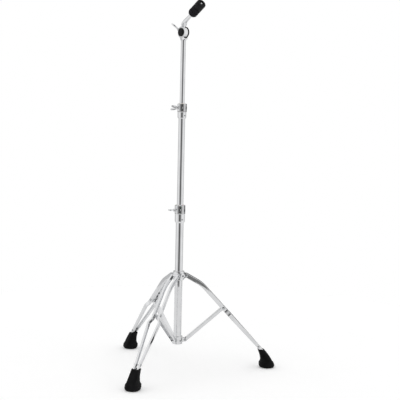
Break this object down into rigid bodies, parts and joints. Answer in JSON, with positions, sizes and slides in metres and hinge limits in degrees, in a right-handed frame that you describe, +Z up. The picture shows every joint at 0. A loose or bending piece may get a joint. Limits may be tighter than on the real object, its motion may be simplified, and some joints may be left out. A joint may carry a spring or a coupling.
{
  "type": "cymbal stand",
  "caption": "Straight cymbal stand: telescoping chrome tubes with wing-bolt height clamps, a tilting rod with felts, and a folding double-braced tripod on rubber feet.",
  "frame": {"origin": "middle of the part's own box, on the floor; the tubes' axis stands 88.2 mm to the -X side of it, because one leg points along +X", "axes": "+Z up along the tubes, +X along the leg that shows at the right of the picture, -Y towards the front, where the clamps' ears are"},
  "size_m": [0.5876, 0.6698, 1.4061],
  "materials": {
    "chrome": "bright polished chrome plate on steel",
    "zinc_steel": "zinc-plated steel fasteners, satin",
    "black_rubber": "matte black rubber",
    "black_felt": "dense black wool felt",
    "black_nylon": "satin black nylon",
    "pale_nylon": "natural nylon"
  },
  "bodies": {
    "base": {"base_tube": "chrome", "lower_hub": "chrome", "lower_hub_set_screw": "zinc_steel", "leg_1_lower_pin": "zinc_steel", "leg_2_lower_pin": "zinc_steel", "leg_3_lower_pin": "zinc_steel", "lower_clamp": "chrome", "lower_clamp_nut": "zinc_steel", "lower_clamp_set_screw": "zinc_steel"},
    "hub": {"upper_hub": "chrome", "upper_hub_liner": "pale_nylon"},
    "hub_lock": {"upper_hub_lock_screw": "zinc_steel"},
    "lower_bush": {"lower_clamp_bush": "pale_nylon"},
    "lower_wing_bolt": {"lower_clamp_wing_bolt": "chrome"},
    "middle": {"middle_tube": "chrome", "upper_clamp": "chrome", "upper_clamp_nut": "zinc_steel", "upper_clamp_set_screw": "zinc_steel"},
    "upper_bush": {"upper_clamp_bush": "pale_nylon"},
    "upper_wing_bolt": {"upper_clamp_wing_bolt": "chrome"},
    "top": {"top_tube": "chrome", "tilter_yoke": "chrome", "tilter_drum": "zinc_steel", "tilter_friction_liner": "black_nylon", "tilter_friction_disc": "black_nylon", "tilter_end_cap": "black_nylon"},
    "arm": {"tilter_arm": "chrome", "cymbal_rod": "zinc_steel", "seat_washer": "chrome", "rod_sleeve": "black_nylon"},
    "tilter_screw": {"tilter_wing_screw": "chrome"},
    "bottom_felt": {"lower_felt": "black_felt"},
    "top_felt": {"upper_felt": "black_felt"},
    "nut": {"quick_release_nut": "black_nylon"},
    "stay_1": {"leg_1_stay": "chrome", "leg_1_brace_pin": "zinc_steel"},
    "leg_1": {"leg_1_left_strip": "chrome", "leg_1_right_strip": "chrome", "leg_1_rubber_foot": "black_rubber", "leg_1_hub_pin": "zinc_steel", "leg_1_foot_bolt": "zinc_steel"},
    "stay_2": {"leg_2_stay": "chrome", "leg_2_brace_pin": "zinc_steel"},
    "leg_2": {"leg_2_left_strip": "chrome", "leg_2_right_strip": "chrome", "leg_2_rubber_foot": "black_rubber", "leg_2_hub_pin": "zinc_steel", "leg_2_foot_bolt": "zinc_steel"},
    "stay_3": {"leg_3_stay": "chrome", "leg_3_brace_pin": "zinc_steel"},
    "leg_3": {"leg_3_left_strip": "chrome", "leg_3_right_strip": "chrome", "leg_3_rubber_foot": "black_rubber", "leg_3_hub_pin": "zinc_steel", "leg_3_foot_bolt": "zinc_steel"}
  },
  "joints": [
    {"name": "tripod_fold", "type": "hinge", "parent": "base", "child": "stay_1", "pos_m": [-0.05822, 0, 0.11005], "axis": [0, -1, 0], "range_deg": [-10, 38]},
    {"name": "leg_1_swing", "type": "hinge", "parent": "stay_1", "child": "leg_1", "pos_m": [0.08669, 0, 0.23602], "axis": [0, 1, 0], "range_deg": [-20, 76]},
    {"name": "stay_2_swing", "type": "hinge", "parent": "base", "child": "stay_2", "pos_m": [-0.10322, 0.02598, 0.11005], "axis": [0.866, 0.5, 0], "range_deg": [-10, 38]},
    {"name": "leg_2_swing", "type": "hinge", "parent": "stay_2", "child": "leg_2", "pos_m": [-0.17567, 0.15147, 0.23602], "axis": [-0.866, -0.5, 0], "range_deg": [-20, 76]},
    {"name": "stay_3_swing", "type": "hinge", "parent": "base", "child": "stay_3", "pos_m": [-0.10322, -0.02598, 0.11005], "axis": [-0.866, 0.5, 0], "range_deg": [-10, 38]},
    {"name": "leg_3_swing", "type": "hinge", "parent": "stay_3", "child": "leg_3", "pos_m": [-0.17567, -0.15147, 0.23602], "axis": [0.866, -0.5, 0], "range_deg": [-20, 76]},
    {"name": "hub_carry", "type": "hinge", "parent": "leg_1", "child": "hub", "pos_m": [-0.05822, 0, 0.36198], "axis": [0, -1, 0], "range_deg": [-10, 38]},
    {"name": "hub_lock_turn", "type": "hinge", "parent": "hub", "child": "hub_lock", "pos_m": [-0.08822, 0, 0.36198], "axis": [0.5, -0.866, 0], "continuous": true},
    {"name": "middle_tube_turn", "type": "hinge", "parent": "base", "child": "lower_bush", "pos_m": [-0.08822, 0, 0.60005], "axis": [0, 0, 1], "continuous": true},
    {"name": "middle_tube_slide", "type": "slide", "parent": "lower_bush", "child": "middle", "axis": [0, 0, 1], "range_m": [-0.318, 0.088]},
    {"name": "lower_wing_bolt_turn", "type": "hinge", "parent": "base", "child": "lower_wing_bolt", "pos_m": [-0.08822, -0.0245, 0.61505], "axis": [-1, 0, 0], "continuous": true},
    {"name": "top_tube_turn", "type": "hinge", "parent": "middle", "child": "upper_bush", "pos_m": [-0.08822, 0, 0.98705], "axis": [0, 0, 1], "continuous": true},
    {"name": "top_tube_slide", "type": "slide", "parent": "upper_bush", "child": "top", "axis": [0, 0, 1], "range_m": [-0.228, 0.1]},
    {"name": "upper_wing_bolt_turn", "type": "hinge", "parent": "middle", "child": "upper_wing_bolt", "pos_m": [-0.08822, -0.021, 1.00205], "axis": [-1, 0, 0], "continuous": true},
    {"name": "cymbal_tilt", "type": "hinge", "parent": "top", "child": "arm", "pos_m": [-0.08822, 0, 1.28505], "axis": [0.848, 0.5299, 0], "range_deg": [-65, 75]},
    {"name": "tilter_screw_turn", "type": "hinge", "parent": "arm", "child": "tilter_screw", "pos_m": [-0.10266, 0.02311, 1.29497], "axis": [-0.498, 0.7969, 0.342], "continuous": true},
    {"name": "nut_lift", "type": "slide", "parent": "arm", "child": "nut", "axis": [0.4566, -0.7307, 0.5075], "range_m": [0, 0.06]},
    {"name": "top_felt_lift", "type": "slide", "parent": "arm", "child": "top_felt", "axis": [0.4566, -0.7307, 0.5075], "range_m": [0, 0.036]},
    {"name": "bottom_felt_lift", "type": "slide", "parent": "arm", "child": "bottom_felt", "axis": [0.4566, -0.7307, 0.5075], "range_m": [0, 0.018]}
  ],
  "couplings": [
    {"joint": "leg_1_swing", "follows": "tripod_fold", "ratio": 2},
    {"joint": "stay_2_swing", "follows": "tripod_fold", "ratio": 1},
    {"joint": "leg_2_swing", "follows": "tripod_fold", "ratio": 2},
    {"joint": "stay_3_swing", "follows": "tripod_fold", "ratio": 1},
    {"joint": "leg_3_swing", "follows": "tripod_fold", "ratio": 2},
    {"joint": "hub_carry", "follows": "tripod_fold", "ratio": 1},
    {"joint": "top_felt_lift", "follows": "nut_lift", "ratio": 0.6},
    {"joint": "bottom_felt_lift", "follows": "nut_lift", "ratio": 0.3}
  ]
}
